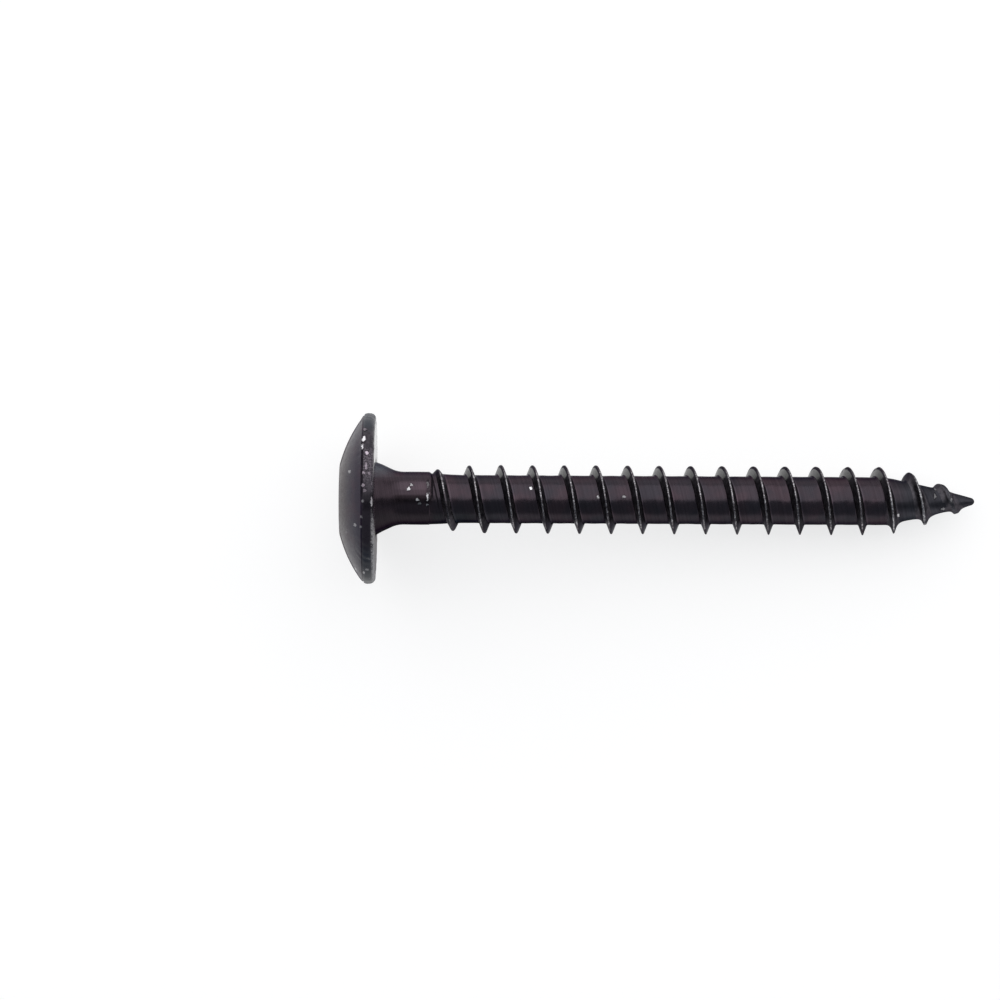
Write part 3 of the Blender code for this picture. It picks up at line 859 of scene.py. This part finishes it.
class Coat(Shading):
    """A finish of the screw, whose masks read these values by name.

    x runs along the axis from the bearing face, side and up run across it, and reach is the
    distance from it, all in mm. off_side is side without its sign, and beside is side over reach.
    Patches, mottle and grain are noises from wide to fine, and streaks run round the axis.
    facing, for gloss alone, is 0 where the surface faces its viewer and 1 at its edge.
    """

    def __init__(self, name):
        self.material = bpy.data.materials.new(name)
        super().__init__(self.material)
        self.place = self.placed()
        x, side, up = self.node("SeparateXYZ", (self.place,)).outputs
        reach = self.math("SQRT", self.total(self.every(side, side), self.every(up, up)), 0.0)
        self.values = {
            "x": x, "side": side, "up": up, "reach": reach, "off_side": self.off(side),
            "beside": self.math("DIVIDE", side, reach),
            "patches": self.noise(self.place, 0.55),
            "mottle": self.noise(self.place, 2.6, 4.0, 0.6),
            "grain": self.noise(self.place, 9.0, 3.0, 0.6),
            "streaks": self.noise(self.placed((1, 9, 9)), 9.0, 2.0),
            "facing": self.node("LayerWeight", ()).outputs["Facing"],
        }

    def patched(self, plain, warm, cool):
        """Plain colour with warm and cool patches."""
        plain = self.mix(("patches", 0.48, 0.66), plain, warm)
        return self.mix(("patches", 0.5, 0.34), plain, cool)

    def chipped(self, s, chips):
        """How bare the chips are, and the sooty ring round them, both ragged by a fine noise.

        Each chip is an ellipsoid: its mask comes from the distance to its centre, each coordinate
        over the chip's half size in that direction.
        """
        ragged = self.vector("SUBTRACT", (self.noise(self.place, 6.0, 3.0, 0.7, "Color"),
                                          (0.5, 0.5, 0.5)))
        place = self.vector("ADD", (self.place, self.scaled(ragged, 0.46)))
        bare, nearest = 0.0, 9.0
        for centre, half_width, half_length, bareness in chip_places(s, chips):
            offset = self.vector("SUBTRACT", (place, centre))
            shares = self.vector("DIVIDE", (offset, (half_width, half_length, CHIP_DEPTH)))
            distance = self.vector("LENGTH", (shares,), "Value")
            bare = self.most(bare, self.between(distance, 1.05, 0.75, 0.0, bareness))
            nearest = self.math("MINIMUM", nearest, distance)
        return bare, self.between(nearest, 1.8, 1.1)

    def lay(self, finish, roughness, bare=0.0, lines=0.0, soft=0.0):
        """Roughness and relief of the coat, which is bare steel where that mask says.

        Lines are cut into the relief, and soft adds to the coat's roughness.
        """
        rough = self.total(("mottle", 0.3, 0.7, roughness - 0.04, roughness + 0.06), soft)
        rough = self.node("Mix", {0: bare, 2: rough, 3: finish.steel_roughness},
                          data_type="FLOAT").outputs[0]
        relief = self.total("mottle", self.every("grain", 0.35), self.every("streaks", 0.4))
        relief = self.math("SUBTRACT", relief, self.every(bare, 0.5), lines)
        bump = self.node("Bump", {"Distance": finish.orange_peel, "Height": relief})
        self.feed(self.shader, {"Roughness": rough, "Normal": bump.outputs[0]})
        return self.material


def lighter(rgb, times):
    """A colour times a number."""
    return [times * part for part in rgb]


# Where the coating is chipped: place along the axis and to the side in mm, the chip's half width
# and half length in mm, and how bare it is
SHAFT_CHIPS = (
    (2.76, 0.82, 0.13, 0.13, 0.8), (2.99, 1.13, 0.12, 0.09, 0.5),
    (3.49, -0.05, 0.13, 0.12, 0.75), (3.66, -0.38, 0.14, 0.12, 0.3),
    (4.31, 0.16, 0.09, 0.38, 0.75), (4.29, -0.5, 0.12, 0.12, 0.5), (4.34, 1.2, 0.1, 0.34, 0.15),
    (12.88, 0.9, 0.14, 0.14, 0.9), (18.39, 0.23, 0.12, 0.12, 0.6),
    (20.55, 0.24, 0.12, 0.11, 0.4), (43.4, -1.18, 0.14, 0.12, 0.8),
    (46.51, 0.45, 0.11, 0.2, 0.2), (46.64, 1.04, 0.12, 0.11, 0.3),
    (47.27, -0.63, 0.24, 0.09, 0.4), (48.42, -0.55, 0.13, 0.11, 0.4),
    (48.05, 0.5, 0.1, 0.13, 0.25), (47.85, 0.16, 0.09, 0.22, 0.25),
)
HEAD_CHIPS = (
    (-2.02, 2.16, 0.15, 0.14, 0.5), (-1.54, -2.15, 0.15, 0.12, 0.4),
    (-2.3, -2.78, 0.22, 0.15, 0.1), (-0.81, 5.66, 0.14, 0.14, 0.3), (-0.9, 4.9, 0.22, 0.3, 1.0),
    (-0.98, 4.3, 0.11, 0.36, 0.9), (-0.59, 3.68, 0.14, 0.18, 0.75),
    (-0.62, 2.62, 0.1, 0.36, 0.45), (-0.82, 2.1, 0.14, 0.14, 0.45),
    (-0.4, 2.04, 0.11, 0.14, 0.3), (-0.84, 1.08, 0.15, 0.16, 0.35),
    (-0.72, 0.62, 0.13, 0.14, 0.2), (-0.91, -0.21, 0.12, 0.14, 0.3),
    (-1.02, -1.48, 0.1, 0.14, 0.3), (-1.05, -2.3, 0.12, 0.12, 0.3),
    (-0.13, -0.28, 0.11, 0.5, 0.7), (-0.89, -6.09, 0.16, 0.12, 0.5),
    (-0.59, -5.83, 0.15, 0.12, 0.3), (-1.58, -5.84, 0.1, 0.38, 0.6),
    (-0.36, -4.91, 0.22, 0.11, 0.1),
)

# Small marks of painted shade on the head, written in the same way
HEAD_PAINTED_SHADE = (
    (-2.05, -4.75, 0.14, 0.12, 1.0), (-1.75, -5.5, 0.16, 0.14, 0.9),
    (-0.1, -6.5, 0.2, 0.16, 0.9),
)

CHIP_DEPTH = 0.4              # how far a chip's mask reaches into the surface, in mm
RIDGE_REACH = 0.00045         # how far the ridge's slopes reach from its crest, along the axis

# Stretches of the shaft, as bands
ON_SHANK = ("x", 5.4, 4.3)
ON_POINT = ("x", 42.0, 44.5)

# Where the burnished coat is lighter or darker: its tone there, and the bands that bound it.
# Rows banded by side are painted light and shade; the patches row is a random tone and the dies'
# row is rub
ROLLED_TONES_AND_PAINTED_LIGHT = (
    # painted light high on the core and low along it
    (1.12, ("side", 1.3, 1.7), ("x", 30.0, 22.0, 0.4, 1.0)),        # high on the core
    (1.22, ("side", 1.68, 1.86), ("x", 30.0, 22.0)),                # and highest
    (1.18, ("x", 8.0, 44.0), ("side", 0.4, -0.2)),                  # low, to the tip
    (1.06, ("patches", 0.52, 0.62)),
    # painted shade along the lowest edge, and on both edges of the tip
    (0.50, ("beside", -0.93, -0.975), ("x", 46.5, 46.0)),           # lowest edge
    (0.35, ("off_beside", 0.88, 0.96), ("x", 46.9, 47.5)),          # edges of the tip
    # painted shade and painted light on the shank, by side
    (0.42, ON_SHANK, ("side", 0.46, 0.16), ("side", -0.7, 0.0), ("x", 0.9, 2.2)),
    (0.78, ON_SHANK, ("x", 2.4, 1.6), ("side", -0.8, -0.3), ("side", 1.7, 1.2)),
    (0.85, ON_SHANK, ("side", -0.5, -1.5)),
    (1.35, ON_SHANK, ("x", 0.9, 2.4), ("side", 0.6, 0.9), ("side", 1.7, 1.3)),
    (1.40, ("x", 4.6, 4.9), ("off_ridge_foot", 0.11, 0.03)),        # rubbed by the dies
    # painted light and painted shade on the point and near the tip, by side
    (0.88, ON_POINT, ("side", 0.9, 0.4), ("x", 48.6, 48.0)),
    (1.45, ON_POINT, ("side", -0.3, -0.8)),
    (1.25, ("x", 46.2, 46.9), ("side", 0.4, 0.9)),
)

# Where the crests are rubbed more or less, written in the same way; their bands by side are
# also painted light and shade on the bare crests
CREST_RUB_AND_PAINTED_LIGHT = (
    (1.70, ("x", 41.0, 42.5), ("side", 1.3, 0.5)),
    (0.30, ("off_side", 2.2, 2.6)),
    (0.15, ("x", 6.6, 5.8), ("side", 1.1, 0.1)),
)


def ridge_above(s, x, side, radius):
    """How high the ridge stands over the core at a place: its height less its slope's share."""
    up = math.sqrt(radius ** 2 - side ** 2)
    offset, height, _ = on_ridge(s, np.array(((x, side, up),)))
    return float(height[0]) * max(0.0, 1 - abs(float(offset[0])) / RIDGE_REACH)


def chip_places(s, chips):
    """Each chip's centre in mm in the screw's axes, on the dome, rim, shank or core."""
    places = []
    for along, side, half_width, half_length, bareness in chips:
        x, off_axis = along / 1000, 0.0
        if x < -s.rim_height:
            radius = math.sqrt(s.dome_radius ** 2 - (x - dome_centre(s)) ** 2)
            off_axis = -1000 * s.dome_stray
        elif x < 0:
            radius = s.head_diameter / 2
        elif x <= s.shank_length:
            radius = s.shank_diameter / 2
        else:
            radius = float(core_radius(s, x))
            radius += ridge_above(s, x, side / 1000, radius)
        up = math.sqrt((1000 * radius) ** 2 - (side - off_axis) ** 2)
        places.append(((along, side, up), half_width, half_length, bareness))
    return places


def helix_offset(m, s):
    """Distance along the axis in mm from the nearest crest, and the helix's turn there."""
    around = m.math("ARCTAN2", m.every("side", -1.0), "up")
    along = m.math("DIVIDE", m.math("SUBTRACT", "x", 1000 * thread_start(s)), 1000 * s.pitch)
    along = m.math("SUBTRACT", along, m.math("DIVIDE", around, math.tau))
    past_crest = m.math("SUBTRACT", along, m.math("ROUND", along, 0.0))
    return m.every(past_crest, 1000 * s.pitch), along


def head_black(s, finish):
    """Dull black coating of the head, chipped along the rim and scuffed on the bearing face."""
    m = Coat("head_black")
    upper, lower = m.every(("side", -0.5, 0.6)), m.every(("side", -0.9, -2.2))

    # Colours of the dome and the rim, with painted shade on the recess's walls and painted
    # light on its floor
    in_recess = m.every(("reach", 2.95, 2.85))
    # Painted shade on the recess's walls and round the foot of its floor
    walls = m.most(m.every(in_recess, ("x", -2.45, -2.15)), ("recess_wall", 0.1, 0.6))
    base = m.every(in_recess, ("x", -1.15, -1.02), ("recess_wall", 0.5, 0.1))
    cool = m.most(("side", -3.4, -5.0), ("side", 5.2, 6.2))
    coat = m.patched(finish.head, finish.head_warm, finish.head_cool)
    coat = m.mix(("reach", 5.8, 4.0), coat, finish.crown)
    coat = m.mix(walls, coat, finish.fold)
    coat = m.mix(base, coat, finish.recess_painted_light)
    coat = m.mix("wall", coat, m.mix(cool, finish.rim, finish.rim_cool))

    # Rubbed rim, chipped edges, scratched recess and scuffed bearing face
    m.values["scuff"] = m.total(m.every("grain", 0.6), m.every("mottle", 0.4))
    chippable = m.total(m.every(m.most("rim", m.every("fold", 0.8)), 0.30), "grain")
    mouth = m.every(("reach", 3.02, 2.93), ("x", -2.35, -2.50))
    scratched = m.most(mouth, m.every(base, ("patches", 0.46, 0.56)))
    bare = m.most(
        m.every("wall", upper, ("side", 6.0, 5.0, 0.2, 1.0), ("mottle", 0.34, 0.62, 0.0, 0.055)),
        m.every("wall", upper, ("side", 0.4, 2.6, 0.15, 1.0), ("side", 4.4, 3.7),
                ("grain", 0.42, 0.60, 0.0, 0.20)),
        m.between(chippable, 0.86, 0.96, 0.0, 0.7),
        m.every(scratched, ("scuff", 0.53, 0.62, 0.0, 0.15)),
        m.every("bearing", ("scuff", 0.50, 0.60, 0.0, 0.22)),
        m.every("lower_edge", lower, ("scuff", 0.42, 0.58, 0.04, 0.50)))

    # Painted shade in the fold, in single marks and low in the middle of the rim, and soot
    # round the chips
    chips, chip_soot = m.chipped(s, HEAD_CHIPS)
    dark = m.most(
        m.every(("fold", 0.30, 0.72), upper, ("side", 5.6, 4.6)),
        m.every("wall", upper, chip_soot, 0.6),
        m.chipped(s, HEAD_PAINTED_SHADE)[0],
        m.every("wall", m.between(m.off("side", -0.2), 1.1, 0.4), ("x", -0.95, -0.75), 0.5))
    dark = m.every(dark, m.without(chips))
    coat = m.mix(dark, coat, finish.fold)
    bare = m.most(m.every(bare, m.without(dark)), chips)
    metal = m.mix(m.every("wall", upper), finish.steel, finish.warm_steel)
    metal = m.mix(m.between(chips, 0.7, 0.95), metal, finish.chip)
    m.feed(m.shader, {"Base Color": m.mix(bare, coat, metal), "Metallic": m.most(bare, dark),
                      "IOR": finish.head_ior})
    soft = m.total(m.every(("facing", 0.84, 0.97), 0.5, m.without("bearing")),
                   m.every("bearing", m.between(lower, 0.0, 1.0, -0.22, 0.12)))
    return m.lay(finish, finish.head_roughness, bare, soft=soft)


def lit_flank_black(finish):
    """Dull black coating of the flanks toward the light, where the dies slid and left faint
    streaks: the lit one of two copies that paint light and shade on the flanks by side.
    """
    m = Coat("lit_flank_black")
    coat = m.mix(("patches", 0.4, 0.6), finish.flank, lighter(finish.flank, 1.6))
    m.feed(m.shader, {"Base Color": coat, "IOR": finish.flank_ior})
    return m.lay(finish, finish.head_roughness)


def shaded_flank_black(finish):
    """Darker copy of the flank coating on the flanks away from the light, painted shade, whose
    glancing gloss is dark.

    It is lighter low on the first ridge and in the middle of each flank, painted light, and
    rougher in the middle of each flank. It is rougher too on the lowest side near both ends.
    """
    m = Coat("shaded_flank_black")
    coat = m.mix(("mottle", 0.35, 0.65), finish.shaded_flank, lighter(finish.shaded_flank, 1.7))
    # Painted light: lighter low on the first ridge and in the middle of each flank
    middle = m.every(("off_side", 2.3, 1.7))
    tone = m.most(m.toned(1.0, 2.6, ("x", 7.0, 6.0), ("side", 0.6, -0.4)),
                  m.toned(1.0, 1.45, middle))
    m.feed(m.shader, {"Base Color": m.scaled(coat, tone), "Metallic": 1.0,
                      "Specular Tint": finish.rolled_edge})
    near_ends = m.total(("x", 13.0, 9.0, 0.0, 0.22), ("x", 31.0, 36.0, 0.0, 0.25))
    soft = m.total(m.every(near_ends, ("side", -1.2, -2.0)), m.every(middle, 0.13))
    return m.lay(finish, finish.head_roughness, soft=soft)


def rolled_black(s, finish):
    """Burnished black of neck, shank, core and crests, whose glancing gloss is dark."""
    m = Coat("rolled_black")
    offset, turn = helix_offset(m, s)
    along_helix = m.node("CombineXYZ", (m.every(offset, 5.0), turn)).outputs[0]
    m.values["rolling"] = m.noise(along_helix, 1.6, 3.0, 0.6)
    m.values["off_ridge_foot"] = m.off(offset, 0.46)
    m.values["off_beside"] = m.off("beside")

    # Colours of the core, shank and point, with painted light and shade by side and painted
    # shade below, and painted light on the neck's flare
    tone = m.between("rolling", 0.3, 0.7, 0.87, 1.13)
    for level, *bands in ROLLED_TONES_AND_PAINTED_LIGHT:
        tone = m.toned(tone, level, *bands)
    coat = m.patched(finish.rolled, finish.rolled_warm, finish.rolled_cool)
    coat = m.mix(m.every(ON_SHANK, ("side", 1.9, 1.4), 0.8), coat, finish.rolled_warm)
    coat = m.scaled(m.mix(ON_POINT, coat, finish.point), tone)
    # Painted shade on the shaft's lower side, strongest just beyond the shank
    shaded = m.total(("x", 4.9, 4.6, 0.0, -0.30), ("x", 7.0, 11.0, 1.0, 0.55))
    coat = m.mix(m.every(("side", -0.9, -1.5), shaded), coat, finish.underside_shade, "MULTIPLY")
    # Painted light on the upper side of the neck's flare
    flare = m.every(("x", 2.1, 0.6), ("side", 1.6, 2.5), ("mottle", 0.3, 0.6, 0.6, 1.0))
    coat = m.mix(flare, coat, finish.neck_flare_light)

    # Two rolling marks beside the ridge where it begins, and the line that ends the shank, cut
    # into the relief and darkened with painted shade
    marks = m.most(m.every(m.between(m.off(offset, -0.68), 0.10, 0.02), ("side", -1.2, 0.2)),
                   m.every(m.between(m.off(offset, -1.04), 0.08, 0.03), ("side", -0.2, 0.6), 0.7))
    groove = m.most(m.every(marks, ("x", 4.5, 4.7), ("x", 6.6, 5.9)),
                    m.every(m.between(m.off("x", 4.70), 0.10, 0.04), ("side", -0.4, 0.3),
                            ("side", 1.9, 1.5)))
    lines = m.total(m.every(groove, 12.0), m.every("rolling", 0.5))

    # Rubbed crests and shank edge, painted shade in the grooves, and the chips with their soot
    ragged = m.every(m.math("SUBTRACT", "mottle", 0.5), 1.2)
    rub = m.every(("grain", 0.46, 0.64, 0.6 * finish.crest_rub, 3.2 * finish.crest_rub),
                  ("mottle", 0.38, 0.62, 0.65, 1.5))
    # Wear, with painted light and shade by side on the bare crests
    for level, *bands in CREST_RUB_AND_PAINTED_LIGHT:
        rub = m.toned(rub, level, *bands)
    chips, chip_soot = m.chipped(s, SHAFT_CHIPS)
    edge = m.total(m.every("shank_edge", 0.45), "mottle")
    crest = m.every(m.between(m.total("crest", ragged), 0.45, 0.85), rub,
                    ("x", 46.2, 47.0, 1.0, 0.10))
    bare = m.most(crest, m.between(edge, 0.90, 1.0, 0.0, 0.3), chips)
    coat = m.mix(m.most(groove, m.every(chip_soot, 0.75)), coat, finish.soot)
    metal = m.mix(m.between(chips, 0.7, 0.95), finish.steel, finish.chip)
    m.feed(m.shader, {"Base Color": m.mix(bare, coat, metal), "Metallic": 1.0,
                      "Specular Tint": finish.rolled_edge})
    soft = m.total(m.every(ON_POINT, 0.14),
                   m.every(("facing", 0.60, 0.80), ("side", -0.6, -1.2), 0.45),
                   m.every(("facing", 0.55, 0.78), ("x", 46.9, 47.5), 0.45))
    return m.lay(finish, finish.rolled_roughness, bare, lines, soft)


def floor_material(studio):
    """Pale matt floor that keeps the shadow, with a glow that only lines of sight see."""
    material = bpy.data.materials.new("pale_floor")
    m = Shading(material)
    ray = m.node("LightPath", ()).outputs
    seen = m.most(ray["Is Camera Ray"], ray["Is Glossy Ray"], ray["Is Transmission Ray"])
    m.feed(m.shader, {"Base Color": studio.floor, "Roughness": 0.9, "Specular IOR Level": 0.2,
                      "Emission Color": (1.0, 1.0, 1.0),
                      "Emission Strength": m.every(seen, studio.floor_glow)})
    return material


def set_world(studio):
    """Soft room: bright round the horizon and dimmer above."""
    world = bpy.data.worlds.new("studio_room")
    m = Shading(world, "Background")
    _, _, height = m.node("SeparateXYZ", (m.node("TexCoord", ()).outputs["Generated"],)).outputs
    m.feed(m.shader, {"Color": m.mix(m.between(height, 0.05, 0.40), studio.horizon,
                                     studio.ceiling)})
    bpy.context.scene.world = world


def add_soft_box(name, light_level, start, end, width, height):
    """A level soft light over the floor, whose surface has the given brightness."""
    light = bpy.data.lights.new(name, "AREA")
    light.shape = "RECTANGLE"
    light.size = width
    light.size_y = end - start
    light.energy = light_level * math.pi * width * (end - start)
    shown(name, light).location = (0.0, (start + end) / 2, height)


class SCREW_OT_set_studio(bpy.types.Operator):
    """Set the floor, the soft light and the camera"""

    bl_idname = "screw.set_studio"
    bl_label = "Set Studio"

    def execute(self, context):
        studio = context.scene.screw_studio
        where = screw_matrix()

        mesh = bpy.data.meshes.new("floor")
        corners = ((-1, -1, 0), (1, -1, 0), (1, 1, 0), (-1, 1, 0))
        mesh.from_pydata([FLOOR_REACH * Vector(corner) for corner in corners], [], [(0, 1, 2, 3)])
        mesh.materials.append(floor_material(studio))
        floor = shown("floor", mesh)

        add_soft_box("wide_box", studio.wide_light, studio.wide_from, studio.wide_to,
                     studio.wide_width, studio.box_height)
        add_soft_box("inner_box", studio.inner_light, studio.inner_from, studio.inner_to,
                     studio.inner_width, studio.box_height)
        set_world(studio)

        camera = bpy.data.cameras.new("camera")
        camera.lens = studio.camera_lens
        camera.sensor_width = 36.0
        camera.clip_start, camera.clip_end = 0.01, 20.0
        camera_object = shown("camera", camera)
        roll = studio.camera_roll
        right = Vector((math.cos(roll), math.sin(roll), 0.0))
        up = Vector((-math.sin(roll), math.cos(roll), 0.0))
        aim = Vector((studio.camera_aim, 0.0, 0.0)) - up * studio.camera_drop
        turn = Matrix((right, up, right.cross(up))).transposed().to_4x4()
        lean = Matrix.Rotation(-studio.camera_lean, 4, "Y")
        back = Matrix.Translation((0.0, 0.0, studio.camera_distance))
        camera_object.matrix_world = where @ Matrix.Translation(aim) @ turn @ lean @ back
        context.scene.camera = camera_object
        context.scene.view_settings.view_transform = "Standard"
        return {"FINISHED"}


class SCREW_PT_looks(bpy.types.Panel):
    """Buttons and values of the screw's looks"""

    bl_label = "Hinge Screw"
    bl_idname = "SCREW_PT_looks"
    bl_space_type = "VIEW_3D"
    bl_region_type = "UI"
    bl_category = "Screw"

    def draw(self, context):
        layout = self.layout
        for operator in OPERATORS:
            layout.operator(operator.bl_idname)
        for values in (context.scene.screw_sizes, context.scene.screw_finish,
                       context.scene.screw_studio):
            box = layout.box()
            for key in values.__annotations__:
                box.prop(values, key)


OPERATORS = (SCREW_OT_form_screw, SCREW_OT_set_studio)
CLASSES = (ScrewSizes, ScrewFinish, StudioSettings, *OPERATORS, SCREW_PT_looks)


def register():
    for kind in CLASSES:
        bpy.utils.register_class(kind)
    bpy.types.Scene.screw_sizes = PointerProperty(type=ScrewSizes)
    bpy.types.Scene.screw_finish = PointerProperty(type=ScrewFinish)
    bpy.types.Scene.screw_studio = PointerProperty(type=StudioSettings)


def unregister():
    del bpy.types.Scene.screw_studio
    del bpy.types.Scene.screw_finish
    del bpy.types.Scene.screw_sizes
    for kind in reversed(CLASSES):
        bpy.utils.unregister_class(kind)


def main():
    register()
    bpy.ops.screw.form_screw()
    bpy.ops.screw.set_studio()


if __name__ == "__main__":
    main()
